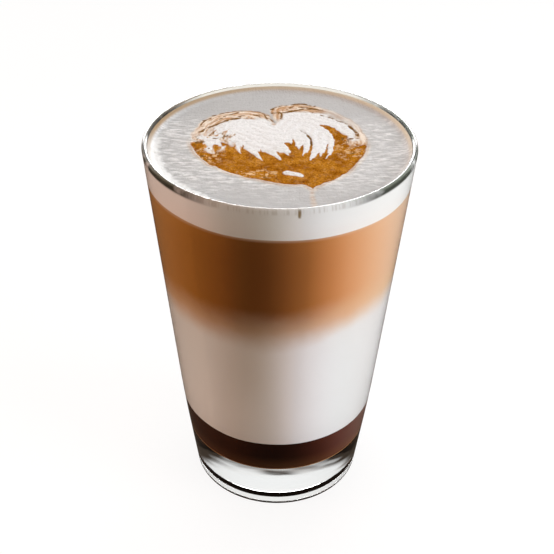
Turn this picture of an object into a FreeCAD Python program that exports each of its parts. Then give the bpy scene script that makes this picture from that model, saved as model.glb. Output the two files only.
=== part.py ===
"""A layered latte in a conical glass tumbler.

Millimetres, +Z up. The origin is the centre of the foot, on the plane that the glass stands on.
Every piece is a solid of revolution about Z, cut from two outlines in the (radius, height)
half plane: the outline of the glass, and the outline of the cavity that the drink fills.
"""
import FreeCAD
import Part

import math
import os

# ---- Driving dimensions of the glass ----
HEIGHT = 123.0
RIM_RADIUS = 41.0
RIM_WALL = 1.65                # wall thickness at the rim
RIM_ROUNDING = 0.78            # fire-polished lip, nearly a full round

SHOULDER_HEIGHT = 30.0         # the straight wall starts to pull in below this
SHOULDER_RADIUS = 31.78
SHOULDER_BLEND = 690.0         # very large radius: the change of taper is barely seen

HEEL_RADIUS = 27.75            # outer corner of the foot, before its rounding
HEEL_ROUNDING = 1.0
RING_INNER_RADIUS = 24.5       # the glass stands on a flat ring outside this
RING_ROUNDING = 0.3
PUNT_DEPTH = 2.0               # shallow recess under the base
PUNT_SLOPE = 0.5               # how far the side of the recess leans in
PUNT_MIDDLE = 0.7              # the recess is shallower in its middle
PUNT_ROUNDING = 0.5
MOULD_RING_RADIUS = 18.2       # a low step runs round inside the recess
MOULD_RING_WIDTH = 0.8
MOULD_RING_STEP = 0.25

FLOOR_HEIGHT = 17.0            # top of the thick base
FLOOR_RADIUS = 27.95           # inner corner of the cavity, before its rounding
FLOOR_ROUNDING = 2.0

# ---- Driving dimensions of the drink, as heights above the foot ----
SYRUP_TOP = 29.7
MILK_TOP = 80.0
COFFEE_TOP = 112.3
FOAM_TOP = 120.6               # the middle of the foam
FOAM_CREEP = 1.6               # how much higher the foam stands at the wall
FOAM_CREEP_WIDTH = 3.0         # over this distance from the wall

OUTPUT_FOLDER = "parts"


def vector(radius, height):
    """A point of an outline, in the plane y = 0."""
    return FreeCAD.Vector(radius, 0.0, height)


def line(start, end):
    return Part.LineSegment(start, end).toShape()


def rounded_corner(before, corner, after, radius):
    """The arc that rounds a corner between two straight runs, with its two tangent points."""
    back = (before - corner).normalize()
    ahead = (after - corner).normalize()
    half_angle = back.getAngle(ahead) / 2.0
    start = corner + back * (radius / math.tan(half_angle))
    end = corner + ahead * (radius / math.tan(half_angle))
    bisector = (back + ahead).normalize()
    middle = corner + bisector * (radius / math.sin(half_angle) - radius)
    return start, Part.Arc(start, middle, end).toShape(), end


def outline_edges(points):
    """Straight runs through (radius, height, rounding) points, with the rounded corners as arcs."""
    vectors = [vector(radius, height) for radius, height, rounding in points]
    edges = []
    run_start = vectors[0]
    for index in range(1, len(points) - 1):
        rounding = points[index][2]
        if rounding == 0.0:
            edges.append(line(run_start, vectors[index]))
            run_start = vectors[index]
            continue
        start, arc, end = rounded_corner(vectors[index - 1], vectors[index], vectors[index + 1], rounding)
        edges.append(line(run_start, start))
        edges.append(arc)
        run_start = end
    edges.append(line(run_start, vectors[-1]))
    return edges


def revolve(edges):
    """The solid that a closed outline makes when it turns once about Z."""
    face = Part.Face(Part.Wire(edges))
    solid = face.revolve(FreeCAD.Vector(0, 0, 0), FreeCAD.Vector(0, 0, 1), 360.0)
    if solid.Volume < 0:
        solid.reverse()
    return solid


def cavity_radius(height):
    """Radius of the straight inner wall at a height."""
    share = (height - FLOOR_HEIGHT) / (HEIGHT - FLOOR_HEIGHT)
    return FLOOR_RADIUS + share * (RIM_RADIUS - RIM_WALL - FLOOR_RADIUS)


def make_glass():
    """The tumbler: recess, foot ring, two tapers outside, lip, and the cavity down to a thick base."""
    profile = outline_edges([
        (0.0, PUNT_MIDDLE, 0.0),
        (MOULD_RING_RADIUS, PUNT_DEPTH - MOULD_RING_STEP, PUNT_ROUNDING),
        (MOULD_RING_RADIUS + MOULD_RING_WIDTH, PUNT_DEPTH, PUNT_ROUNDING),
        (RING_INNER_RADIUS - PUNT_SLOPE, PUNT_DEPTH, PUNT_ROUNDING),
        (RING_INNER_RADIUS, 0.0, RING_ROUNDING),
        (HEEL_RADIUS, 0.0, HEEL_ROUNDING),
        (SHOULDER_RADIUS, SHOULDER_HEIGHT, SHOULDER_BLEND),
        (RIM_RADIUS, HEIGHT, RIM_ROUNDING),
        (RIM_RADIUS - RIM_WALL, HEIGHT, RIM_ROUNDING),
        (FLOOR_RADIUS, FLOOR_HEIGHT, FLOOR_ROUNDING),
        (0.0, FLOOR_HEIGHT, 0.0),
    ])
    axis = line(vector(0.0, FLOOR_HEIGHT), vector(0.0, PUNT_MIDDLE))
    return revolve(profile + [axis])


def make_drink():
    """The whole fill of the cavity, up to the foam, whose edge creeps up the wall."""
    wall_radius = cavity_radius(FOAM_TOP + FOAM_CREEP)
    edges = outline_edges([
        (0.0, FLOOR_HEIGHT, 0.0),
        (FLOOR_RADIUS, FLOOR_HEIGHT, FLOOR_ROUNDING),
        (wall_radius, FOAM_TOP + FOAM_CREEP, 0.0),
    ])
    creep_start = vector(wall_radius - FOAM_CREEP_WIDTH, FOAM_TOP)
    creep_middle = vector(wall_radius - FOAM_CREEP_WIDTH / 2.0, FOAM_TOP + FOAM_CREEP / 4.0)
    edges.append(Part.Arc(vector(wall_radius, FOAM_TOP + FOAM_CREEP), creep_middle, creep_start).toShape())
    edges.append(line(creep_start, vector(0.0, FOAM_TOP)))
    edges.append(line(vector(0.0, FOAM_TOP), vector(0.0, FLOOR_HEIGHT)))
    return revolve(edges)


def cut_layer(drink, bottom, top):
    """The slice of the drink between two heights."""
    slab = Part.makeCylinder(RIM_RADIUS, top - bottom, vector(0.0, bottom))
    return drink.common(slab).Solids[0]


def make_parts():
    drink = make_drink()
    return {
        "glass": make_glass(),
        "syrup": cut_layer(drink, FLOOR_HEIGHT, SYRUP_TOP),
        "milk": cut_layer(drink, SYRUP_TOP, MILK_TOP),
        "coffee": cut_layer(drink, MILK_TOP, COFFEE_TOP),
        "foam": cut_layer(drink, COFFEE_TOP, HEIGHT),
    }


def main():
    os.makedirs(OUTPUT_FOLDER, exist_ok=True)
    for name, solid in make_parts().items():
        print(f"{name:8s} valid {solid.isValid()}  {solid.Volume / 1000.0:8.2f} cm3")
        solid.exportStep(os.path.join(OUTPUT_FOLDER, name + ".step"))


main()
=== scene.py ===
import math

import bmesh
import bpy
import numpy as np
from mathutils import Matrix, Vector


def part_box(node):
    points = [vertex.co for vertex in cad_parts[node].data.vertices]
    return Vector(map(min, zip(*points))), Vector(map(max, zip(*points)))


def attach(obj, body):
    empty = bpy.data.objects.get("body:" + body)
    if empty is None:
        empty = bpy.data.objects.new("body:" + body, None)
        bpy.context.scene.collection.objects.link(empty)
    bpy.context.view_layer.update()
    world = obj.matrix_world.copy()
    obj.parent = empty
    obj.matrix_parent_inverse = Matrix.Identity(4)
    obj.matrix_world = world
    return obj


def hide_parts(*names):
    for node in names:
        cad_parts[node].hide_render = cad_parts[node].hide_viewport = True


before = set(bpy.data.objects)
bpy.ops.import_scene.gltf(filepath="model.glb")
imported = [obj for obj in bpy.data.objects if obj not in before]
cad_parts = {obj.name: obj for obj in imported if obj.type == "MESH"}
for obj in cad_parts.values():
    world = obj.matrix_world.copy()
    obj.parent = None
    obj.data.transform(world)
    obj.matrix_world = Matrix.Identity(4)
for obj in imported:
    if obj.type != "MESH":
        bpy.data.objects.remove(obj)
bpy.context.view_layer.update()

BODY = "root"
MM = 0.001

# ---- The glass, in metres: the overall size comes from the frame ----
RIM_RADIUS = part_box("glass")[1].x
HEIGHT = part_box("glass")[1].z
RIM_WALL = 1.65 * MM
RIM_ROUNDING = 0.8 * MM
SHOULDER_HEIGHT = 30.0 * MM
SHOULDER_RADIUS = 31.78 * MM
SHOULDER_BLEND = 690.0 * MM
HEEL_RADIUS = 27.75 * MM
HEEL_ROUNDING = 1.0 * MM
RING_INNER_RADIUS = 24.5 * MM
PUNT_DEPTH = 2.0 * MM
PUNT_MIDDLE = 0.7 * MM         # the recess under the foot is shallower in its middle
MOULD_RING_RADIUS = 18.2 * MM
MOULD_RING_WIDTH = 0.8 * MM
MOULD_RING_STEP = 0.25 * MM
PUNT_SLOPE = 0.5 * MM
PUNT_ROUNDING = 0.5 * MM
RING_ROUNDING = 0.3 * MM
FLOOR_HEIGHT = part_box("syrup")[0].z
FLOOR_RADIUS = 27.95 * MM
FLOOR_ROUNDING = 2.0 * MM
GLASS_SEGMENTS = 256
LONGEST_STEP = 4.0 * MM        # straight runs of the outline are cut this short

# ---- The drink, in metres ----
SYRUP_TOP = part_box("syrup")[1].z
MILK_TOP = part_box("milk")[1].z
COFFEE_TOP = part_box("coffee")[1].z
FOAM_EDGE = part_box("foam")[1].z
FOAM_CREEP = 1.6 * MM          # how much higher the foam stands at the wall
FOAM_MIDDLE = FOAM_EDGE - FOAM_CREEP
INTO_WALL = 0.12 * MM          # how far the drink reaches into the glass, so that no gap shows
DRINK_SEGMENTS = 256
FOAM_GRID = 276                # cells across the foam's top
SKIRT_ROWS = 14                # rows of faces down the foam's side
SKIRT_SPACING = 1.5            # above 1, the rows are closer together near the top
SYRUP_WANDER = 0.25 * MM       # how far a layer's edge wanders up and down
FOAM_WANDER = 0.3 * MM

# ---- The camera ----
CAMERA_ELEVATION = 34.25       # degrees above the horizon
CAMERA_ROLL = 0.64             # degrees
CAMERA_DISTANCE = 0.358
CAMERA_AIM = Vector((-0.0004, 0.0, 0.0738))
CAMERA_LENS = 72.5
CAMERA_SENSOR = 36.0
CAMERA_NEAREST = 0.01

# ---- The studio ----
FLOOR_HALF = 3.0
FLOOR_GAP = 0.1 * MM           # how far the floor lies under the foot
DIM = (0.06, 0.045, 0.034)     # colour of the surroundings where they aren't white
GLINT_STRENGTH = 11.0          # how much brighter than white the patch for reflections is

# Parts of the surroundings, by the Y or Z of the direction to them: where each starts and is full.
HORIZON_Z = (-0.02, 0.04)
BEHIND_Y = (0.35, 0.6)
FRONT_Y = (-0.35, -0.6)
GLINT_Y = (0.84, 0.90)
GLINT_Z = (0.50, 0.42)

# Each lamp: azimuth and elevation in degrees, distance and size in metres, watts and tint.
LAMPS = [
    ("overhead", 180.0, 74.0, 0.95, (1.1, 1.3), 6.4, (1.0, 0.99, 0.97)),
    ("key_right", 70.0, 12.0, 0.75, (0.4, 0.5), 6.0, (0.98, 1.0, 1.03)),
    ("fill_left", -80.0, 12.0, 0.75, (0.5, 0.5), 2.9, (1.0, 0.65, 0.5)),
    ("fill_front", 0.0, 15.0, 0.9, (0.9, 0.6), 1.9, (1.0, 0.70, 0.52)),
]


# ======================================================================================
# Outlines and meshes
# ======================================================================================

def cavity_radius(height):
    """Radius of the glass's straight inner wall at a height."""
    share = (height - FLOOR_HEIGHT) / (HEIGHT - FLOOR_HEIGHT)
    return FLOOR_RADIUS + share * (RIM_RADIUS - RIM_WALL - FLOOR_RADIUS)


def drink_radius(height):
    return cavity_radius(height) + INTO_WALL


def rounded_corner(before, corner, after, radius, steps=10):
    """Points along the arc that rounds a corner of an outline."""
    back = (before - corner).normalized()
    ahead = (after - corner).normalized()
    half_angle = back.angle(ahead) / 2.0
    bisector = (back + ahead).normalized()
    centre = corner + bisector * (radius / math.sin(half_angle))
    start = corner + back * (radius / math.tan(half_angle)) - centre
    end = corner + ahead * (radius / math.tan(half_angle)) - centre
    sweep = start.angle(end)
    points = []
    for step in range(steps + 1):
        share = step / steps
        weight_start = math.sin((1.0 - share) * sweep) / math.sin(sweep)
        weight_end = math.sin(share * sweep) / math.sin(sweep)
        points.append(centre + start * weight_start + end * weight_end)
    return points


def outline(corners):
    """(radius, height) points of an outline given as (radius, height, rounding) corners."""
    vectors = [Vector((radius, height)) for radius, height, rounding in corners]
    points = [vectors[0]]
    for index in range(1, len(corners) - 1):
        rounding = corners[index][2]
        if rounding:
            points += rounded_corner(vectors[index - 1], vectors[index], vectors[index + 1], rounding)
        else:
            points.append(vectors[index])
    points.append(vectors[-1])
    return points


def cut_long_steps(points, longest):
    """The same outline with points added along its long straight runs."""
    result = [points[0]]
    for start, end in zip(points, points[1:]):
        pieces = max(1, math.ceil((end - start).length / longest))
        for piece in range(1, pieces + 1):
            result.append(start.lerp(end, piece / pieces))
    return result


def mesh_object(name, vertices, faces):
    mesh = bpy.data.meshes.new(name)
    mesh.from_pydata([tuple(v) for v in vertices], [], faces)
    grid = bmesh.new()
    grid.from_mesh(mesh)
    bmesh.ops.recalc_face_normals(grid, faces=grid.faces)
    grid.to_mesh(mesh)
    grid.free()
    mesh.polygons.foreach_set("use_smooth", [True] * len(mesh.polygons))
    mesh.set_sharp_from_angle(angle=math.radians(50.0))
    mesh.update()
    piece = bpy.data.objects.new(name, mesh)
    bpy.context.scene.collection.objects.link(piece)
    return piece


def lathe(name, points, segments, lift=None):
    """The closed surface that an outline makes round Z. Its first and last points are on the axis.

    lift(radius, height, angle) may move a ring up or down as it goes round.
    """
    vertices = [Vector((0.0, 0.0, points[0].y))]
    for point in points[1:-1]:
        for segment in range(segments):
            angle = 2.0 * math.pi * segment / segments
            height = point.y + (lift(point.x, point.y, angle) if lift else 0.0)
            vertices.append(Vector((point.x * math.cos(angle), point.x * math.sin(angle), height)))
    vertices.append(Vector((0.0, 0.0, points[-1].y)))
    last = len(vertices) - 1
    rings = len(points) - 2
    faces = []
    for segment in range(segments):
        following = (segment + 1) % segments
        faces.append((0, 1 + following, 1 + segment))
        for ring in range(rings - 1):
            low = 1 + ring * segments
            high = low + segments
            faces.append((low + segment, low + following, high + following, high + segment))
        top = 1 + (rings - 1) * segments
        faces.append((top + segment, top + following, last))
    return mesh_object(name, vertices, faces)


def finish_piece(piece, node, material):
    piece.data.materials.append(material)
    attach(piece, BODY)
    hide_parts(node)
    return piece


# ======================================================================================
# Smooth noise and curves over the foam, all in millimetres
# ======================================================================================

LATTICE = 128                  # side of the table of random values that noise is read from


def smoothstep(low, high, value):
    share = np.clip((value - low) / (high - low), 0.0, 1.0)
    return share * share * (3.0 - 2.0 * share)


def value_noise(x, y, size, seed):
    """Smooth noise between -1 and 1 with bumps about size across."""
    lattice = np.random.default_rng(seed).uniform(-1.0, 1.0, (LATTICE, LATTICE))
    u, v = x / size + LATTICE / 2, y / size + LATTICE / 2
    column, row = np.floor(u).astype(int), np.floor(v).astype(int)
    u, v = smoothstep(0.0, 1.0, u - column), smoothstep(0.0, 1.0, v - row)
    column, row = column % (LATTICE - 1), row % (LATTICE - 1)
    low = lattice[row, column] * (1.0 - u) + lattice[row, column + 1] * u
    high = lattice[row + 1, column] * (1.0 - u) + lattice[row + 1, column + 1] * u
    return low * (1.0 - v) + high * v


def layered_noise(x, y, size, seed, layers=3):
    """Noise with finer and fainter layers added, brought back to about -1 to 1."""
    total = np.zeros_like(x)
    for layer in range(layers):
        total += value_noise(x, y, size / 2 ** layer, seed + layer) / 2 ** layer
    return total / 1.5


def spline(points, closed=False, steps=8):
    """A Catmull-Rom curve through the points, as an array of short steps."""
    control = np.array(points, float)
    count = len(control)
    if closed:
        padded = np.vstack([control[-1], control, control[:2]])
        spans = count
    else:
        padded = np.vstack([2 * control[0] - control[1], control, 2 * control[-1] - control[-2]])
        spans = count - 1
    curve = []
    for span in range(spans):
        a, b, c, d = padded[span:span + 4]
        for step in range(steps):
            t = step / steps
            curve.append(0.5 * (2 * b + (c - a) * t + (2 * a - 5 * b + 4 * c - d) * t ** 2
                                + (3 * b - a - 3 * c + d) * t ** 3))
    curve.append(control[0] if closed else control[-1])
    return np.array(curve)


def nearest(curve, x, y):
    """Distance from each point to the curve, and how far along it the nearest place is, 0 to 1."""
    best = np.full(x.shape, 1e9)
    along = np.zeros(x.shape)
    for index in range(len(curve) - 1):
        start, step = curve[index], curve[index + 1] - curve[index]
        share = ((x - start[0]) * step[0] + (y - start[1]) * step[1]) / max(step @ step, 1e-12)
        share = np.clip(share, 0.0, 1.0)
        distance = np.hypot(x - start[0] - share * step[0], y - start[1] - share * step[1])
        closer = distance < best
        best = np.where(closer, distance, best)
        along = np.where(closer, (index + share) / (len(curve) - 1), along)
    return best, along


def depth_inside(points, x, y):
    """Distance to a closed outline, positive inside it, and how far along it that is, 0 to 1."""
    curve = spline(points, closed=True)
    distance, along = nearest(curve, x, y)
    crossings = np.zeros(x.shape, bool)
    for start, end in zip(curve, curve[1:]):
        spans = (start[1] > y) != (end[1] > y)
        rise = end[1] - start[1]
        if rise == 0.0:
            continue
        meets = start[0] + (y - start[1]) / rise * (end[0] - start[0])
        crossings ^= spans & (x < meets)
    return np.where(crossings, distance, -distance), along


def oval(x, y, centre_x, centre_y, half_x, half_y):
    """1 in the middle of an oval, falling smoothly to 0 at its edge."""
    reach = np.hypot((x - centre_x) / half_x, (y - centre_y) / half_y)
    return 1.0 - smoothstep(0.3, 1.0, reach)


def stroke(points, start_width, end_width, x, y, soft=0.35):
    """A brush stroke along a curve, 0 to 1, whose width changes evenly from one end to the other."""
    distance, along = nearest(spline(points), x, y)
    half = 0.5 * (start_width + (end_width - start_width) * along)
    return 1.0 - smoothstep(-soft, soft, distance - half)


# ======================================================================================
# The heart on the foam. Millimetres, seen from above, tip towards -Y.
# ======================================================================================

WALL = drink_radius(FOAM_EDGE) / MM    # radius of the foam's edge
HEART_LENGTH = 165.0           # about the length of its outline
WOBBLE = 0.5                   # how far the painted edges wander
LINE_SPREAD = 1.25             # how much wider lines are painted than listed
DRIP_PLACE = 5.4               # where along X the brown drip runs down under the front rim

HEART = [(-1.6, 16.6), (-3.2, 20.4), (-6.2, 23.2), (-10.0, 24.4), (-15.0, 23.2), (-20.5, 20.4),
         (-24.4, 15.0), (-26.4, 8.5), (-26.8, 2.5), (-25.2, -4.0), (-22.2, -9.0), (-17.5, -13.6),
         (-10.5, -18.0), (-4.0, -20.8), (2.0, -22.4), (6.8, -22.8), (8.6, -24.2), (9.2, -25.2),
         (9.9, -24.0), (13.0, -21.6), (18.0, -17.0), (21.4, -11.2), (24.4, -5.0), (26.2, 2.5),
         (25.4, 10.0), (22.6, 17.6), (17.4, 23.6), (12.0, 27.4), (6.0, 29.2), (0.8, 28.2),
         (-2.6, 25.6), (-2.6, 21.6)]

ROSETTE = [(-1.6, 14.6), (-3.4, 16.4), (-7.0, 17.8), (-11.6, 17.4), (-15.6, 15.0), (-19.0, 11.4),
           (-21.4, 7.6), (-20.4, 5.4), (-16.8, 4.2), (-13.0, 2.0), (-9.0, -2.0), (-3.0, -4.0),
           (4.0, -4.0), (11.0, -3.5), (15.4, -3.0), (16.2, 3.0), (16.0, 8.0), (18.6, 9.0),
           (20.4, 6.6), (22.4, 4.6), (22.6, 8.0), (21.6, 11.6), (19.4, 15.6), (15.6, 19.6),
           (11.0, 22.4), (6.0, 22.8), (2.2, 21.4), (0.2, 17.8)]

CREMA = [(-27.5, 1.2), (-26.5, -6.0), (-20.0, -14.5), (-10.0, -20.5), (2.0, -24.0), (9.2, -26.5),
         (16.0, -21.0), (22.5, -12.5), (26.5, -5.0), (26.6, 0.0), (24.8, 2.6), (23.4, 2.4),
         (22.0, 3.8), (20.6, 7.0), (18.2, 9.8), (15.8, 13.0), (12.4, 15.0), (14.0, 11.6),
         (15.9, 7.5), (16.2, 2.0), (15.7, -2.5), (14.6, -6.8), (11.0, -7.8), (7.0, -7.0),
         (2.0, -8.0), (-3.0, -9.0), (-7.5, -8.0), (-11.0, -5.2), (-13.0, -1.2), (-16.0, 1.6),
         (-19.2, 3.0), (-20.0, 0.0), (-19.0, -4.8), (-21.2, -4.0), (-22.0, 0.4), (-24.0, 2.0)]

# Each petal tip and flame: its route, then its width where it starts and where it ends.
PETAL_TIPS = [
    ([(-12.4, 1.6), (-11.9, -2.0), (-11.4, -4.6)], 1.4, 0.4),
    ([(-9.4, 1.0), (-7.6, -3.6), (-5.2, -8.8)], 3.6, 0.5),
    ([(-4.0, 0.0), (-2.2, -4.4), (0.4, -8.2)], 4.4, 0.8),
    ([(0.4, -0.6), (1.4, -3.0), (2.8, -5.4)], 3.2, 0.6),
    ([(5.6, 2.4), (5.3, -0.8)], 1.2, 0.3),
    ([(8.0, 2.6), (7.6, -1.6), (7.0, -6.0)], 1.3, 0.4),
    ([(11.8, 2.0), (10.8, -2.8), (9.2, -8.0)], 3.8, 0.6),
    ([(13.2, 0.4), (12.6, -2.8), (11.8, -5.8)], 1.6, 0.4),
    ([(15.6, 1.4), (15.0, -3.0), (13.2, -7.6)], 1.2, 0.4),
]
FLAMES = [
    ([(5.6, -8.0), (4.9, -3.8), (3.7, -0.6), (2.1, 1.8)], 3.8, 1.3),
    ([(4.2, -2.0), (4.0, 1.6), (3.7, 5.0)], 1.5, 0.3),
    ([(6.0, -5.0), (6.5, -1.4), (6.9, 1.0)], 1.8, 0.3),
    ([(8.4, -8.0), (9.0, -3.4), (9.4, 1.4), (9.0, 4.4)], 1.2, 0.5),
    ([(12.6, -7.6), (13.7, -3.4), (14.5, 1.6)], 1.0, 0.4),
    ([(1.6, -8.0), (0.2, -5.6), (-0.9, -3.2)], 1.8, 0.3),
    ([(-4.2, -9.4), (-5.3, -5.6), (-5.9, -2.0)], 1.7, 0.3),
    ([(-9.4, -8.0), (-10.4, -3.0), (-10.9, 0.6)], 1.7, 0.3),
    ([(-13.6, -4.0), (-13.6, -1.4), (-13.2, 0.8)], 2.0, 0.3),
    ([(-17.0, -2.0), (-17.0, 0.2), (-17.4, 1.6)], 3.0, 1.2),
]

# Thin brown lines: their route, width and strength.
LINES = [
    ([(-21.0, 20.4), (-17.2, 22.2), (-13.4, 23.7), (-9.2, 24.2), (-6.2, 23.0), (-4.2, 20.6),
      (-2.8, 18.2), (-1.5, 16.0)], 0.6, 0.8),
    ([(-24.4, 8.8), (-21.6, 11.6), (-18.6, 14.4), (-15.6, 17.0), (-12.6, 18.6)], 0.8, 1.0),
    ([(-23.4, 13.4), (-20.8, 15.2), (-17.4, 18.2), (-14.2, 20.4)], 0.5, 0.7),
    ([(-2.5, 25.4), (-1.2, 26.8), (1.2, 27.8), (3.0, 28.8), (7.0, 29.2), (11.0, 28.0)], 0.8, 0.85),
    ([(-2.4, 23.0), (1.0, 22.9), (4.2, 23.8), (7.2, 25.4), (9.2, 25.7), (13.4, 25.2)], 0.7, 0.95),
    ([(12.8, 21.4), (15.8, 19.3), (18.4, 17.0), (20.6, 14.5), (22.5, 11.4), (23.3, 8.4),
      (24.5, 5.8)], 0.7, 0.8),
    ([(21.6, 13.2), (23.2, 10.4), (23.9, 7.6)], 0.8, 1.0),
    ([(6.0, 17.4), (9.6, 16.6), (12.6, 14.8)], 0.9, 0.3),
    ([(6.2, 10.3), (7.6, 8.2), (8.8, 5.2), (9.4, 1.6)], 0.75, 0.85),
    ([(-19.6, 4.6), (-17.2, 5.2), (-15.8, 6.3)], 0.7, 1.0),
    ([(-24.8, 1.7), (-22.6, 1.9)], 0.8, 1.0),
    ([(-18.4, -3.9), (-16.8, -3.8)], 0.7, 1.0),
    ([(-23.4, 17.0), (-21.4, 18.2)], 0.7, 0.8),
    ([(-24.8, 12.0), (-23.2, 12.4)], 0.6, 0.8),
    ([(-1.7, 16.0), (-2.0, 11.6), (-1.4, 6.0)], 0.6, 0.2),
    ([(-25.6, 5.4), (-24.0, 4.0), (-25.6, 2.4)], 0.6, 0.6),
    ([(8.0, -25.0), (8.6, -20.6), (7.2, -17.4), (5.0, -15.4), (2.0, -14.4)], 0.5, 0.45),
]

# A small white patch near the heart's tip, and the faint streak from the tip to the glass.
WHITE_PATCH = [(2.5, -16.1), (4.0, -17.0), (6.0, -17.9)]
STREAK = [(9.1, -24.6), (9.3, -30.0), (9.6, -38.4)]

# Ovals that are treated apart: their middle and half size.
STREAKED = (-18.0, 6.5, 8.0, 7.0)          # the rosette thins out into brush strokes
PALE_LEFT = (-20.0, 1.5, 9.0, 9.0)         # blotches of milk float in the crema
PALE_RIGHT = (23.0, 4.0, 4.5, 9.0)
FADED = (20.0, 20.0, 12.0, 14.0)           # the peach band is weak
SPECKLED = [(-16.5, 5.0, 6.5, 5.0), (-21.0, -3.5, 6.0, 8.0), (21.5, 2.0, 5.0, 10.0),
            (-4.0, -17.5, 9.0, 3.0)]       # brown specks
FLECKED = [((-7.0, -16.5, 10.0, 4.0), 1.0), ((-21.0, -5.0, 7.0, 9.0), 0.8),
           ((21.0, -1.0, 7.0, 12.0), 0.7)]     # pale flecks, with their strength

# How far parts of the art stand above the foam or lie below it.
HEART_RAISED = 0.2
CREMA_SUNK = 0.28
LINES_SUNK = 0.25
ARCS_RAISED = 0.09
STROKES_RAISED = 0.12

# Relief of the foam round the art.
SWELL = 0.25
RIPPLES = 0.3
BUBBLES = 0.05
FROTH_STROKES = 0.3

# Where round the glass the foam's edge is painted: azimuth and half width, in degrees.
FROTH_AT = (-62.0, 42.0)
FILM_AT = (180.0, 120.0)
STRIPES_AT = (-12.0, 62.0)
# Painted highlight: a white line along the top of the foam's edge at the front, standing in for the
# rim's highlight.
PAINTED_HIGHLIGHT_AT = (0.0, 75.0)


class Heart:
    """The latte art at an array of places on the foam, as masks from 0 to 1."""

    def __init__(self, x, y):
        self.x, self.y = x, y
        self.warped = (x + WOBBLE * layered_noise(x, y, 3.0, 11),
                       y + WOBBLE * layered_noise(x, y, 3.0, 23))
        self.depth, self.along = depth_inside(HEART, *self.warped)
        self.rosette = depth_inside(ROSETTE, *self.warped)[0]
        self.blotches = layered_noise(x, y, 2.4, 53)
        self.brushed = self.brush_marks(2.2, 0.7, 81)
        self.upper = smoothstep(-2.0, 6.0, y)
        self.inside = smoothstep(-0.6, 0.7, self.depth + 0.45 * self.brushed * self.upper)
        self.arcs = np.sin(self.rosette * 2.4 + 1.6 * layered_noise(x, y, 5.0, 41))
        self.paint_petals()
        self.break_up()
        self.add_patch()
        self.add_fringe()
        self.add_lines()
        self.add_streak()

    def brush_marks(self, length, width, seed):
        """Noise drawn out along the heart's outline."""
        return layered_noise(self.along * HEART_LENGTH / length, self.depth / width, 1.0, seed, 2)

    def stroke(self, route, start_width, end_width, soft=0.35):
        return stroke(route, start_width, end_width, *self.warped, soft)

    def area(self, middle_and_size):
        return oval(self.x, self.y, *middle_and_size)

    def paint_petals(self):
        """White milk and brown crema: the rosette, its petal tips and the flames between them."""
        ragged = self.rosette + 1.2 * self.blotches * self.upper
        self.milk = smoothstep(-1.0, 0.7, ragged / (0.6 + 1.7 * self.upper))
        crema_depth = depth_inside(CREMA, *self.warped)[0]
        self.crema = smoothstep(-0.5, 0.5, crema_depth + 0.3 * self.blotches) * self.inside
        for route, start_width, end_width in PETAL_TIPS:
            tip = self.stroke(route, start_width, end_width)
            self.milk = np.maximum(self.milk, tip)
            self.crema = self.crema * (1.0 - tip)
        for route, start_width, end_width in FLAMES:
            self.crema = np.maximum(self.crema, self.stroke(route, start_width, end_width))
        below = (1.0 - smoothstep(-3.0, 0.0, self.y)) * smoothstep(-14.0, -12.0, self.x)
        self.crema = np.maximum(self.crema, self.inside * (1.0 - self.milk) * below)

    def break_up(self):
        """Streaks in the rosette's left side, and blotches and pale flecks in the crema."""
        streaks = 0.9 * self.area(STREAKED) * smoothstep(-0.15, 0.2, self.brushed)
        left = self.area(PALE_LEFT)
        afloat = left * smoothstep(0.0, 0.55, self.blotches + 0.25)
        self.milk = np.maximum(self.milk * (1.0 - streaks), afloat)
        self.crema = self.crema * (1.0 - 0.75 * left * smoothstep(-0.1, 0.4, self.blotches))
        right = self.area(PALE_RIGHT)
        self.crema = self.crema * (1.0 - 0.8 * right * smoothstep(-0.4, 0.2, self.blotches))
        self.flecks = 0.12 * self.inside
        for place, strength in FLECKED:
            self.flecks = np.maximum(self.flecks, strength * self.area(place))

    def add_patch(self):
        """The white patch near the tip, and milk that gives way to crema higher up."""
        patch = self.stroke(WHITE_PATCH, 3.0, 1.5, 0.5)
        self.crema = self.crema * (1.0 - 0.95 * patch)
        self.milk = np.maximum(self.milk * (1.0 - self.crema * self.upper * 0.4), patch)

    def add_fringe(self):
        """The peach bands round the two lobes, and the brown strokes in them."""
        faded = 1.0 - 0.55 * self.area(FADED)
        self.fringe = np.clip(self.inside - self.milk, 0.0, 1.0) * faded
        self.lines = 0.85 * smoothstep(0.1, 0.6, self.brushed) * self.fringe * self.upper * faded

    def add_lines(self):
        """Brown lines, specks, the heart's lower edge and the faint arcs in the rosette."""
        broken = np.clip(0.8 + 0.9 * layered_noise(self.x, self.y, 1.3, 37), 0.1, 1.0)
        for route, width, strength in LINES:
            line = self.stroke(route, LINE_SPREAD * width, LINE_SPREAD * width)
            self.lines = np.maximum(self.lines, line * strength * broken)
        specks = smoothstep(0.25, 0.6, layered_noise(self.x * 0.6, self.y, 0.9, 43, 2))
        for place in SPECKLED:
            self.lines = np.maximum(self.lines, 0.9 * self.area(place) * specks * self.inside)
        edge = smoothstep(-0.2, 0.3, self.depth) * (1.0 - smoothstep(0.4, 1.1, self.depth))
        self.lines = np.maximum(self.lines, 0.35 * edge * (1.0 - self.upper))
        self.lines = np.maximum(self.lines, 0.09 * self.milk * smoothstep(0.5, 1.0, self.arcs))

    def add_streak(self):
        """The peach streak from the tip, and a halo round the heart's lower half."""
        streak = self.stroke(STREAK, 0.9, 1.9, 0.6)
        halo = smoothstep(-2.0, -0.3, self.depth) * (1.0 - self.inside) * (1.0 - self.upper)
        self.fringe = np.maximum(self.fringe, np.maximum(0.45 * streak, 0.55 * halo))

    def relief(self):
        """How far the art stands above the foam, in millimetres."""
        height = HEART_RAISED * smoothstep(0.0, 1.6, self.depth) - CREMA_SUNK * self.crema * self.inside
        height += ARCS_RAISED * self.milk * self.arcs - LINES_SUNK * self.lines
        return height + STROKES_RAISED * self.fringe * self.upper * self.brushed

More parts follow.
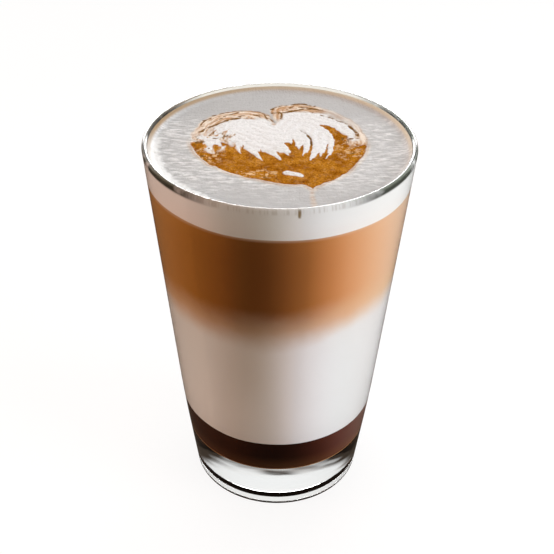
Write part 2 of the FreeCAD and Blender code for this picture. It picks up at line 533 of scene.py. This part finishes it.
    def masks(self):
        return {"fringe": self.fringe, "milk": self.milk, "crema": self.crema,
                "flecks": self.flecks, "lines": self.lines,
                "brush": smoothstep(-0.5, 0.5, self.brush_marks(3.0, 0.55, 85))}


def sector(x, y, azimuth, half_width):
    """1 on the side of the glass at an azimuth, falling smoothly to 0. 0 is the front, 90 is +X."""
    angle = math.radians(azimuth)
    outer, inner = math.cos(math.radians(half_width)), math.cos(math.radians(0.6 * half_width))
    cosine = (x * math.sin(angle) - y * math.cos(angle)) / np.maximum(np.hypot(x, y), 1.0)
    return smoothstep(outer, inner, cosine)


def paint_edge(x, y, rise):
    """Masks for the foam that clings to the glass, with a painted highlight line along its top at the
    front. Rise is its height in mm over the foam's middle.
    """
    reach = np.hypot(x, y)
    around = np.arctan2(y, x) * WALL
    froth_and_highlight = smoothstep(WALL - 4.2, WALL - 3.0, reach + 0.5 * value_noise(around, reach, 1.3, 91))
    froth_and_highlight = froth_and_highlight * sector(x, y, *FROTH_AT)
    film = smoothstep(0.5, 1.2, rise) * sector(x, y, *FILM_AT)
    stripes = smoothstep(-0.1, 0.5, value_noise(around, 0.12 * rise, 0.4, 97))
    stain = 0.24 * stripes * smoothstep(0.0, 0.5, rise) * sector(x, y, *STRIPES_AT)
    drip = 1.0 - smoothstep(0.25, 0.6, np.hypot(x - DRIP_PLACE, 0.5 * np.minimum(rise, 0.0)))
    stain = np.maximum(stain, drip * (y < 0.0) * smoothstep(0.0, 0.2, reach - WALL + 0.6))
    # Painted highlight: a white line at the top of the foam's edge at the front, merged into the froth
    # mask.
    line = smoothstep(1.05, 1.3, rise) * smoothstep(WALL - 0.7, WALL - 0.3, reach)
    line = line * sector(x, y, *PAINTED_HIGHLIGHT_AT)
    return {"froth_and_highlight": np.maximum(froth_and_highlight, line), "film": film, "stain": stain * (1.0 - line)}


# ======================================================================================
# Materials
# ======================================================================================

class Nodes:
    """A node tree under construction: short calls for the nodes that the looks and the world share."""

    def __init__(self, tree, place):
        self.tree = tree
        self.place = self.add("ShaderNodeTexCoord").outputs[place]

    def add(self, kind, **settings):
        node = self.tree.nodes.new(kind)
        for key, value in settings.items():
            setattr(node, key, value)
        return node

    def put(self, value, socket):
        if isinstance(value, bpy.types.NodeSocket):
            self.tree.links.new(value, socket)
        else:
            socket.default_value = value

    def maths(self, operation, first, second=0.0):
        node = self.add("ShaderNodeMath", operation=operation)
        self.put(first, node.inputs[0])
        self.put(second, node.inputs[1])
        return node.outputs[0]

    def product(self, *factors):
        result = factors[0]
        for factor in factors[1:]:
            result = self.maths("MULTIPLY", result, factor)
        return result

    def between(self, value, low, high, smooth=True):
        """0 where the value is low, 1 where it is high."""
        node = self.add("ShaderNodeMapRange")
        node.interpolation_type = "SMOOTHSTEP" if smooth else "LINEAR"
        self.put(value, node.inputs["Value"])
        node.inputs["From Min"].default_value = low
        node.inputs["From Max"].default_value = high
        return node.outputs["Result"]

    def mix(self, factor, first, second, blend="MIX"):
        """Two colours mixed. Inputs 6 and 7 of the node and its output 2 are the ones for colours."""
        node = self.add("ShaderNodeMix", data_type="RGBA", blend_type=blend)
        self.put(factor, node.inputs[0])
        self.put(first, node.inputs[6])
        self.put(second, node.inputs[7])
        return node.outputs[2]

    def coordinate(self, axis):
        node = self.add("ShaderNodeSeparateXYZ")
        self.put(self.place, node.inputs[0])
        return node.outputs[axis]

    def ray(self, name):
        return self.add("ShaderNodeLightPath").outputs[name]

    def not_bounced(self):
        """1 for rays that haven't yet bounced off a matt surface."""
        return self.maths("LESS_THAN", self.ray("Diffuse Depth"), 0.5)


class Look(Nodes):
    """A material under construction."""

    def __init__(self, name):
        self.material = bpy.data.materials.new(name)
        self.material.use_nodes = True
        super().__init__(self.material.node_tree, "Object")
        self.shader = self.tree.nodes["Principled BSDF"]

    def stretched(self, x, y, z):
        """The place scaled along each axis, for noise that is longer one way."""
        node = self.add("ShaderNodeMapping")
        self.put(self.place, node.inputs["Vector"])
        node.inputs["Scale"].default_value = (x, y, z)
        return node.outputs["Vector"]

    def noise(self, size, detail=3.0, roughness=0.5, place=None):
        """Noise with bumps about size metres across, as a factor."""
        node = self.add("ShaderNodeTexNoise")
        self.put(place or self.place, node.inputs["Vector"])
        node.inputs["Scale"].default_value = 1.0 / size
        node.inputs["Detail"].default_value = detail
        node.inputs["Roughness"].default_value = roughness
        return node.outputs["Fac"]

    def cells(self, size):
        """Distance to the nearest cell centre, for bubbles about size metres across."""
        node = self.add("ShaderNodeTexVoronoi")
        self.put(self.place, node.inputs["Vector"])
        node.inputs["Scale"].default_value = 1.0 / size
        return node.outputs["Distance"]

    def attribute(self, name):
        return self.add("ShaderNodeAttribute", attribute_name=name).outputs["Fac"]

    def height(self):
        return self.coordinate("Z")

    def sideways(self):
        return self.coordinate("X")

    def reach(self):
        """Distance from the axis of the glass."""
        node = self.add("ShaderNodeVectorMath", operation="LENGTH")
        self.put(self.stretched(1.0, 1.0, 0.0), node.inputs[0])
        return node.outputs["Value"]

    def crisp(self, name, grain, spread):
        """A mask painted on the mesh, its soft edges broken up by a fine grain."""
        jitter = self.product(self.maths("SUBTRACT", grain, 0.5), spread)
        return self.between(self.maths("ADD", self.attribute(name), jitter), 0.22, 0.78)

    def bump(self, height, strength, distance):
        node = self.add("ShaderNodeBump")
        self.put(height, node.inputs["Height"])
        node.inputs["Strength"].default_value = strength
        node.inputs["Distance"].default_value = distance
        self.put(node.outputs["Normal"], self.shader.inputs["Normal"])

    def let_lamps_through(self, tint):
        """Shadow rays pass straight through, so that lamps light what is behind the glass."""
        clear = self.add("ShaderNodeBsdfTransparent")
        clear.inputs["Color"].default_value = tint
        pick = self.add("ShaderNodeMixShader")
        self.put(self.ray("Is Shadow Ray"), pick.inputs[0])
        self.put(self.shader.outputs[0], pick.inputs[1])
        self.put(clear.outputs[0], pick.inputs[2])
        self.put(pick.outputs[0], self.tree.nodes["Material Output"].inputs["Surface"])

    def across(self, stops):
        """Colours from -X to +X. Each stop is its place in millimetres, then red, green and blue."""
        low, high = stops[0][0], stops[-1][0]
        ramp = self.add("ShaderNodeValToRGB")
        ramp.color_ramp.interpolation = "B_SPLINE"
        self.put(self.between(self.sideways(), low * MM, high * MM, smooth=False), ramp.inputs[0])
        marks = ramp.color_ramp.elements
        marks[0].color, marks[1].color = colour(*stops[0][1:]), colour(*stops[-1][1:])
        for place, *shade in stops[1:-1]:
            marks.new((place - low) / (high - low)).color = colour(*shade)
        return ramp.outputs["Color"]

    def surface(self, roughness, specular=0.5):
        self.put(roughness, self.shader.inputs["Roughness"])
        self.shader.inputs["Specular IOR Level"].default_value = specular


def colour(red, green, blue):
    return (red, green, blue, 1.0)


# Painted light and shade, for the light that falls from the right and soaks sideways through the drink:
# these colours are bright at -X, painted darkest left of the middle and brightest to its right. Each
# stop is X in millimetres, then the colour.
MILK_PAINTED_SHADING = [
    (-36, 0.82, 0.83, 0.82), (-28, 0.82, 0.86, 0.85), (-20, 0.87, 0.90, 0.90), (-14, 0.74, 0.73, 0.70),
    (-8, 0.62, 0.57, 0.50), (-3, 0.67, 0.62, 0.56), (3, 0.81, 0.76, 0.75), (8, 0.93, 0.89, 0.90),
    (14, 0.88, 0.87, 0.885), (20, 0.79, 0.80, 0.80), (28, 0.75, 0.725, 0.72), (36, 0.75, 0.73, 0.73)]
COFFEE_PAINTED_SHADING = [
    (-38, 0.55, 0.31, 0.10), (-30, 0.51, 0.245, 0.06), (-24, 0.455, 0.205, 0.033),
    (-16, 0.345, 0.13, 0.023), (-11, 0.21, 0.080, 0.015), (-7, 0.165, 0.059, 0.010),
    (-1, 0.18, 0.060, 0.013), (8, 0.42, 0.16, 0.041), (13, 0.575, 0.235, 0.078),
    (19, 0.69, 0.325, 0.133), (29, 0.75, 0.485, 0.305), (38, 0.72, 0.55, 0.43)]
SYRUP_PAINTED_SHADING = [
    (-33, 0.050, 0.016, 0.006), (-14, 0.045, 0.010, 0.002), (-5, 0.010, 0.0015, 0.0003),
    (5, 0.010, 0.0015, 0.0003), (14, 0.062, 0.014, 0.007), (20, 0.115, 0.038, 0.028),
    (26, 0.16, 0.075, 0.058), (33, 0.27, 0.16, 0.13)]
FOAM_SIDE_PAINTED_SHADING = [
    (-38, 0.80, 0.80, 0.78), (-22, 0.76, 0.82, 0.79), (-14, 0.74, 0.75, 0.73), (-8, 0.62, 0.61, 0.56),
    (-2, 0.67, 0.67, 0.62), (4, 0.81, 0.80, 0.79), (10, 0.90, 0.90, 0.905), (16, 0.90, 0.905, 0.905),
    (24, 0.825, 0.825, 0.82), (38, 0.84, 0.84, 0.83)]
# Painted shade: the foam's top is painted darker at -X and lighter at +X.
FOAM_TOP_PAINTED_SHADING = [(-38, 0.47, 0.47, 0.47), (38, 0.575, 0.575, 0.58)]
# Painted shade: the film at the back is painted darker at -X and lighter at +X.
FILM_PAINTED_SHADING = [(-36, 0.40, 0.28, 0.17), (-8, 0.52, 0.42, 0.31), (14, 0.62, 0.53, 0.42),
               (36, 0.80, 0.72, 0.58)]

# Where milk and coffee fade into each other.
FADE_WANDER = 6.0 * MM         # how far the fade's level drifts up and down
FADE_LOWER = 1.9 * MM          # how far it lies below the level between the two pieces
FADE_TILT = 4.8 * MM           # how much higher it lies on the right

# Painted shade on the rim's ends, standing in for the dark surroundings that the rounded lip would show:
# on the lip of the glass, and further out at its back.
LIP_START = HEIGHT - 2.4 * MM
LIP_FULL = HEIGHT - 1.5 * MM
PAINTED_SHADE_START = 14.0 * MM
PAINTED_SHADE_FULL = 28.0 * MM
PAINTED_SHADE_FURTHER_BACK = 9.0 * MM


def glass_look():
    """Clear glass: its lip straw-coloured at the back and painted dark at both sides as painted shade,
    its base a bit wavy.
    """
    look = Look("clear_glass")
    tint = look.mix(look.noise(20 * MM, 1.0), colour(0.965, 0.98, 0.972), colour(0.98, 0.99, 0.985))
    lip = look.between(look.height(), LIP_START, LIP_FULL)
    back = look.between(look.coordinate("Y"), 0.0, 20 * MM)
    tint = look.mix(look.product(lip, back, 0.6), tint, colour(0.84, 0.79, 0.68))
    # Painted shade: the lip is painted dark at both sides in streaks, darkest at its inner and outer
    # edges.
    aside = look.maths("ABSOLUTE", look.sideways())
    aside = look.maths("SUBTRACT", aside, look.product(back, PAINTED_SHADE_FURTHER_BACK))
    streaks = look.between(look.noise(7 * MM, 2.0), 0.15, 0.45)
    painted_shade = look.product(lip, look.between(aside, PAINTED_SHADE_START, PAINTED_SHADE_FULL), streaks)
    off_middle = look.maths("SUBTRACT", look.reach(), RIM_RADIUS - RIM_WALL / 2.0)
    edges = look.between(look.maths("ABSOLUTE", off_middle), 0.3 * MM, 0.75 * MM)
    painted_shade_colour = look.mix(edges, colour(0.045, 0.054, 0.036), colour(0.005, 0.006, 0.004))
    look.put(look.mix(painted_shade, tint, painted_shade_colour), look.shader.inputs["Base Color"])
    look.surface(0.0)
    look.shader.inputs["Transmission Weight"].default_value = 1.0
    look.shader.inputs["IOR"].default_value = 1.5
    base = look.between(look.height(), 26 * MM, 14 * MM)
    look.bump(look.product(look.noise(9 * MM, 1.0), base), 0.4, 0.4 * MM)
    look.let_lamps_through(colour(0.97, 0.98, 0.975))
    return look.material


def milk_colour(look):
    """White, painted lighter and darker across X as painted light and shade, and with painted light low
    down on the left.
    """
    milk = look.mix(look.product(look.noise(24 * MM, 2.0), 0.15), look.across(MILK_PAINTED_SHADING),
                    colour(0.84, 0.82, 0.80))
    # Painted light: the milk is painted brighter low down on the left.
    low = look.between(look.height(), MILK_TOP - 16 * MM, SYRUP_TOP)
    left = look.between(look.sideways(), 2 * MM, -8 * MM)
    return look.mix(look.product(low, left, 0.35), milk, colour(0.97, 0.97, 0.96))


def coffee_colour(look):
    """Brown, painted lighter and darker across X as painted light and shade, and paler where it meets
    the foam.
    """
    under_foam = look.between(look.height(), COFFEE_TOP - 1.3 * MM, COFFEE_TOP + 0.3 * MM)
    return look.mix(look.product(under_foam, 0.55), look.across(COFFEE_PAINTED_SHADING), colour(0.72, 0.56, 0.42))


def drink_look(name):
    """Milk below and milky coffee above, which fade into each other over a cloudy stretch."""
    look = Look(name)
    drift = look.maths("SUBTRACT", look.noise(16 * MM, 3.0, 0.55), 0.5)
    level = look.maths("ADD", look.height(), look.product(drift, FADE_WANDER))
    tilt = look.product(look.between(look.sideways(), 0.0, 26 * MM), FADE_TILT)
    level = look.maths("SUBTRACT", look.maths("ADD", level, FADE_LOWER), tilt)
    milk, coffee = milk_colour(look), coffee_colour(look)
    latte = look.mix(1.0, look.mix(0.5, milk, coffee), colour(1.0, 0.84, 0.64), "MULTIPLY")
    result = look.mix(look.between(level, MILK_TOP - 9.0 * MM, MILK_TOP + 1.0 * MM), milk, latte)
    result = look.mix(look.between(level, MILK_TOP - 2.0 * MM, MILK_TOP + 9.0 * MM), result, coffee)
    look.put(result, look.shader.inputs["Base Color"])
    look.surface(0.45, 0.0)
    return look.material


def syrup_look():
    """Dark syrup, painted lighter and darker across X as painted light and shade, with a painted glow on
    its side: brown low down and amber at its very edge.
    """
    look = Look("syrup")
    side = look.between(look.reach(), FLOOR_RADIUS - 2.2 * MM, FLOOR_RADIUS - 1.2 * MM)
    # Painted light: the side is painted to glow brown low down and amber at its very edge.
    painted_glow = look.between(look.height(), FLOOR_HEIGHT + 7.0 * MM, FLOOR_HEIGHT)
    rim = look.between(look.height(), FLOOR_HEIGHT + 1.1 * MM, FLOOR_HEIGHT + 0.2 * MM)
    base = look.mix(look.product(painted_glow, side, 0.25), look.across(SYRUP_PAINTED_SHADING), colour(0.25, 0.10, 0.035))
    base = look.mix(look.product(rim, side), base, colour(0.80, 0.40, 0.16))
    look.put(base, look.shader.inputs["Base Color"])
    look.surface(0.3, 0.0)
    return look.material


def crema_colour(look):
    """Grainy brown in darker and lighter patches, with pale flecks."""
    grains = look.between(look.noise(0.5 * MM, 4.0, 0.75), 0.34, 0.66)
    patches = look.between(look.noise(5.0 * MM, 3.0, 0.6), 0.35, 0.65)
    dark = look.mix(grains, colour(0.17, 0.045, 0.001), colour(0.47, 0.165, 0.009))
    light = look.mix(grains, colour(0.33, 0.115, 0.004), colour(0.68, 0.30, 0.035))
    dabs = look.between(look.noise(1.6 * MM, 3.0, 0.65), 0.5, 0.64)
    flecks = look.product(look.attribute("flecks"), dabs)
    return look.mix(flecks, look.mix(patches, dark, light), colour(0.84, 0.58, 0.32))


def foam_look():
    """The foam's side and its rippled crust, with painted light and shade across X and painted
    highlights on the ripple crests, and the art and the marks at the glass laid over it.
    """
    look = Look("foam")
    top = look.attribute("top")
    fine = look.noise(0.8 * MM, 3.0, 0.6)
    grain = look.noise(0.45 * MM, 3.0, 0.7)
    cloud = look.noise(9 * MM, 3.0, 0.6)
    # Painted shade: the crust is painted darker at -X and lighter at +X.
    crust = look.mix(look.product(cloud, 0.3), look.across(FOAM_TOP_PAINTED_SHADING), colour(0.64, 0.64, 0.645))
    ridges = look.noise(0.95 * MM, 3.0, 0.6, look.stretched(0.3, 1.0, 1.0))
    # Painted highlight: the ripple crests are painted lighter on the crust.
    painted_crest_highlight = look.product(look.attribute("painted_crest_highlight"), look.between(ridges, 0.36, 0.66))
    crust = look.mix(look.product(painted_crest_highlight, 1.5), crust, colour(0.86, 0.86, 0.865))
    # The foam's side carries the painted light and shade across X.
    result = look.mix(top, look.across(FOAM_SIDE_PAINTED_SHADING), crust)

    peach = look.mix(look.attribute("brush"), colour(0.56, 0.31, 0.15), colour(0.91, 0.79, 0.67))
    # Painted highlight: the ripple crests are painted paler on the peach.
    peach = look.mix(look.product(painted_crest_highlight, 0.5), peach, colour(0.96, 0.90, 0.82))
    white = look.mix(look.between(fine, 0.3, 0.7), colour(0.79, 0.785, 0.785), colour(0.94, 0.935, 0.94))
    masks = ((look.attribute("fringe"), peach),
             (look.crisp("milk", grain, 0.5), white),
             (look.crisp("crema", grain, 0.6), crema_colour(look)),
             (look.crisp("lines", grain, 0.35), colour(0.215, 0.11, 0.03)),
             # The froth mask also carries the painted highlight line at the front.
             (look.attribute("froth_and_highlight"), colour(0.95, 0.95, 0.95)),
             (look.attribute("stain"), colour(0.27, 0.20, 0.11)),
             (look.attribute("film"), look.across(FILM_PAINTED_SHADING)))
    for mask, shade in masks:
        result = look.mix(mask, result, shade)
    look.put(result, look.shader.inputs["Base Color"])
    look.surface(0.65, 0.0)
    bubbles = look.maths("ADD", look.product(look.cells(0.6 * MM), 0.5), fine)
    look.bump(look.product(bubbles, top), 0.7, 0.3 * MM)
    return look.material


def floor_look():
    """Pale: it glows to the camera and through the glass, and takes only a faint shadow."""
    look = Look("studio_floor")
    tone = look.mix(look.noise(0.4, 2.0), colour(0.90, 0.90, 0.90), colour(0.93, 0.93, 0.93))
    look.put(look.mix(0.78, tone, colour(0.0, 0.0, 0.0)), look.shader.inputs["Base Color"])
    look.put(tone, look.shader.inputs["Emission Color"])
    look.put(look.product(look.not_bounced(), 0.9), look.shader.inputs["Emission Strength"])
    look.surface(0.8, 0.0)
    look.material.cycles.emission_sampling = "NONE"
    return look.material


# ======================================================================================
# Pieces
# ======================================================================================

def make_glass():
    profile = outline([
        (0.0, PUNT_MIDDLE, 0.0),
        (MOULD_RING_RADIUS, PUNT_DEPTH - MOULD_RING_STEP, PUNT_ROUNDING),
        (MOULD_RING_RADIUS + MOULD_RING_WIDTH, PUNT_DEPTH, PUNT_ROUNDING),
        (RING_INNER_RADIUS - PUNT_SLOPE, PUNT_DEPTH, PUNT_ROUNDING),
        (RING_INNER_RADIUS, 0.0, RING_ROUNDING),
        (HEEL_RADIUS, 0.0, HEEL_ROUNDING),
        (SHOULDER_RADIUS, SHOULDER_HEIGHT, SHOULDER_BLEND),
        (RIM_RADIUS, HEIGHT, RIM_ROUNDING),
        (RIM_RADIUS - RIM_WALL, HEIGHT, RIM_ROUNDING),
        (FLOOR_RADIUS, FLOOR_HEIGHT, FLOOR_ROUNDING),
        (0.0, FLOOR_HEIGHT, 0.0),
    ])
    points = cut_long_steps(profile, LONGEST_STEP)
    glass = lathe("glass_tumbler", points, GLASS_SEGMENTS)
    return finish_piece(glass, "glass", glass_look())


def unevenness(angle, size):
    """How far a layer's edge wanders up and down as it goes round, a few gentle waves."""
    return size * (0.5 * math.sin(2 * angle + 0.7) + 0.3 * math.sin(5 * angle + 2.1)
                   + 0.2 * math.sin(9 * angle + 4.0))


def layer(name, node, slot, material, bottom, top, wander_bottom, wander_top):
    """One layer of the drink, a closed piece that reaches just into the wall."""
    if bottom <= FLOOR_HEIGHT:
        start = outline([
            (0.0, bottom - INTO_WALL, 0.0),
            (FLOOR_RADIUS + INTO_WALL, bottom - INTO_WALL, FLOOR_ROUNDING),
            (drink_radius(top), top, 0.0),
        ])
    else:
        start = [Vector((0.0, bottom)), Vector((drink_radius(bottom), bottom)),
                 Vector((drink_radius(top), top))]
    points = cut_long_steps(start + [Vector((0.0, top))], LONGEST_STEP)

    def lift(radius, height, angle):
        share = (height - bottom) / (top - bottom)
        size = wander_bottom + (wander_top - wander_bottom) * min(max(share, 0.0), 1.0)
        return unevenness(angle, size) * radius / drink_radius(height)

    return finish_piece(lathe(name, points, DRINK_SEGMENTS, lift), node, material)


def ripple_fade(x, y):
    """How strong the foam's ripples are: faint at the back and along the front rim."""
    back = smoothstep(0.0, 16.0, y - 0.35 * np.abs(x))
    front = smoothstep(20.0, 31.0, -y)
    return 1.0 - 0.9 * back - 0.75 * front


def ripple_crests(x, y):
    """Fine wavy crests across the foam, 0 to 1."""
    bend = value_noise(x, y, 6.0, 65)
    crests = 0.5 + 0.6 * layered_noise(0.3 * x, y + bend, 0.9, 61, 1)
    return np.clip(crests, 0.0, 1.0) * ripple_fade(x, y)


def foam_surface(x, y, relief):
    """Height of the foam's top in metres above the foot, for places and relief in millimetres."""
    reach = np.hypot(x, y)
    froth_and_highlight = paint_edge(x, y, np.zeros_like(x))["froth_and_highlight"]
    inner = 1.0 - smoothstep(WALL - 2.5, WALL - 0.5, reach)
    creep = FOAM_CREEP / MM * smoothstep(WALL - 3.0, WALL, reach) ** 2
    swell = SWELL * layered_noise(x, y, 16.0, 5)
    ripples = RIPPLES * ripple_crests(x, y)
    bubbles = BUBBLES * layered_noise(x, y, 0.9, 71)
    strokes = FROTH_STROKES * froth_and_highlight * value_noise(np.arctan2(y, x) * WALL, reach * 0.3, 0.8, 95)
    return FOAM_MIDDLE + (creep + (swell + relief + ripples + bubbles + strokes) * inner) * MM


def disc_grid(cells):
    """A square grid of places in millimetres, bent into a disc that fills the glass."""
    ticks = np.linspace(-1.0, 1.0, cells + 1)
    u, v = np.meshgrid(ticks, ticks)
    return WALL * u * np.sqrt(1.0 - v * v / 2.0), WALL * v * np.sqrt(1.0 - u * u / 2.0)


def foam_skirt(top_ring):
    """Rings of places down the foam's side, from under its top edge to the coffee."""
    angles = np.arctan2(top_ring[:, 1], top_ring[:, 0])
    bottom = COFFEE_TOP + np.array([unevenness(angle, FOAM_WANDER) for angle in angles])
    rings = []
    for row in range(1, SKIRT_ROWS + 1):
        height = top_ring[:, 2] + (bottom - top_ring[:, 2]) * (row / SKIRT_ROWS) ** SKIRT_SPACING
        radius = drink_radius(height)
        rings.append(np.stack([radius * np.cos(angles), radius * np.sin(angles), height], -1))
    return rings


def make_foam():
    """The cap of foam: a fine grid bent into a disc for its top, and a skirt down to the coffee."""
    x, y = disc_grid(FOAM_GRID)
    heart = Heart(x, y)
    top = np.stack([x * MM, y * MM, foam_surface(x, y, heart.relief())], -1).reshape(-1, 3)
    index = np.arange(len(top)).reshape(x.shape)
    quads = np.stack([index[:-1, :-1], index[:-1, 1:], index[1:, 1:], index[1:, :-1]], -1)
    faces = quads.reshape(-1, 4).tolist()
    border = np.concatenate([index[0, :-1], index[:-1, -1], index[-1, :0:-1], index[:0:-1, 0]])
    rings = foam_skirt(top[border])
    vertices = np.vstack([top, *rings, [[0.0, 0.0, COFFEE_TOP]]])

    upper = border
    for row in range(SKIRT_ROWS):
        lower = len(top) + row * len(border) + np.arange(len(border))
        sides = np.stack([upper, lower, np.roll(lower, -1), np.roll(upper, -1)], -1)
        faces += sides.tolist()
        upper = lower
    middle = np.full(len(border), len(vertices) - 1)
    faces += np.stack([upper, middle, np.roll(upper, -1)], -1).tolist()
    foam = mesh_object("foam_cap", vertices, faces)

    masks = heart.masks()
    masks["top"] = np.ones(len(top))
    # Painted highlight: where the ripple crests are painted lighter.
    masks["painted_crest_highlight"] = ripple_crests(x, y)
    across, along, height = vertices.T / MM
    masks.update(paint_edge(across, along, height - FOAM_MIDDLE / MM))
    for name, values in masks.items():
        padded = np.zeros(len(vertices), np.float32)
        padded[:values.size] = values.reshape(-1)
        foam.data.attributes.new(name, "FLOAT", "POINT").data.foreach_set("value", padded)
    return finish_piece(foam, "foam", foam_look())


# ======================================================================================
# Studio
# ======================================================================================

def make_floor():
    corners = [(-FLOOR_HALF, -FLOOR_HALF), (FLOOR_HALF, -FLOOR_HALF),
               (FLOOR_HALF, FLOOR_HALF), (-FLOOR_HALF, FLOOR_HALF)]
    places = [Vector((x, y, -FLOOR_GAP)) for x, y in corners]
    floor = mesh_object("studio_floor", places, [(0, 1, 2, 3)])
    floor.data.materials.append(floor_look())
    floor.visible_glossy = False
    floor.visible_diffuse = False


def area_light(name, azimuth, elevation, distance, size, power, tint):
    """A soft light that faces the middle of the glass. Azimuth 0 is the front, 90 is +X."""
    data = bpy.data.lights.new(name, "AREA")
    data.shape = "RECTANGLE"
    data.size, data.size_y = size
    data.energy = power
    data.color = tint
    light = bpy.data.objects.new(name, data)
    bpy.context.scene.collection.objects.link(light)
    across, up = math.radians(azimuth), math.radians(elevation)
    aim = Vector((0.0, 0.0, HEIGHT / 2.0))
    away = Vector((math.sin(across) * math.cos(up), -math.cos(across) * math.cos(up), math.sin(up)))
    light.location = aim + away * distance
    light.rotation_euler = away.to_track_quat("Z", "Y").to_euler()
    light.visible_camera = False
    light.visible_transmission = False
    light.visible_glossy = False


def make_lights():
    for lamp in LAMPS:
        area_light(*lamp)


def make_world():
    """White to the camera all round, and to other rays white behind the glass and dim elsewhere.

    Rays that the glass bends also see white in front, so that its base looks clear. Reflections see
    a bright patch behind, which puts a bright line on the rim. Neither of those lights the drink.
    """
    world = bpy.data.worlds.new("studio_world")
    world.use_nodes = True
    nodes = Nodes(world.node_tree, "Generated")
    depth, height = nodes.coordinate("Y"), nodes.coordinate("Z")
    direct = nodes.not_bounced()
    above = nodes.between(height, *HORIZON_Z)
    behind = nodes.product(nodes.between(depth, *BEHIND_Y), above)
    front = nodes.product(nodes.between(depth, *FRONT_Y), above, direct)
    front = nodes.product(front, nodes.ray("Is Transmission Ray"))
    white = nodes.maths("MAXIMUM", nodes.maths("MAXIMUM", behind, front), nodes.ray("Is Camera Ray"))
    background = world.node_tree.nodes["Background"]
    nodes.put(nodes.mix(white, colour(*DIM), colour(1.0, 1.0, 1.0)), background.inputs["Color"])
    glint = nodes.product(nodes.between(depth, *GLINT_Y), nodes.between(height, *GLINT_Z))
    glint = nodes.product(glint, direct, nodes.ray("Is Glossy Ray"))
    strength = nodes.maths("ADD", nodes.product(glint, GLINT_STRENGTH), 1.0)
    nodes.put(strength, background.inputs["Strength"])
    bpy.context.scene.world = world


def make_camera():
    data = bpy.data.cameras.new("camera")
    data.lens = CAMERA_LENS
    data.sensor_width = CAMERA_SENSOR
    data.clip_start = CAMERA_NEAREST
    camera = bpy.data.objects.new("camera", data)
    bpy.context.scene.collection.objects.link(camera)
    up = math.radians(CAMERA_ELEVATION)
    away = Vector((0.0, -math.cos(up), math.sin(up)))
    camera.matrix_world = (
        Matrix.Translation(CAMERA_AIM + away * CAMERA_DISTANCE)
        @ Matrix.Rotation(math.radians(90.0) - up, 4, "X")
        @ Matrix.Rotation(math.radians(CAMERA_ROLL), 4, "Z")
    )
    bpy.context.scene.camera = camera
    bpy.context.scene.view_settings.view_transform = "Standard"


make_glass()
layer("syrup_layer", "syrup", "syrup", syrup_look(), FLOOR_HEIGHT, SYRUP_TOP, 0.0, SYRUP_WANDER)
layer("milk_layer", "milk", "milk", drink_look("milk"), SYRUP_TOP, MILK_TOP, SYRUP_WANDER, 0.0)
layer("coffee_layer", "coffee", "coffee", drink_look("coffee"), MILK_TOP, COFFEE_TOP, 0.0, FOAM_WANDER)
make_foam()
make_floor()
make_world()
make_lights()
make_camera()
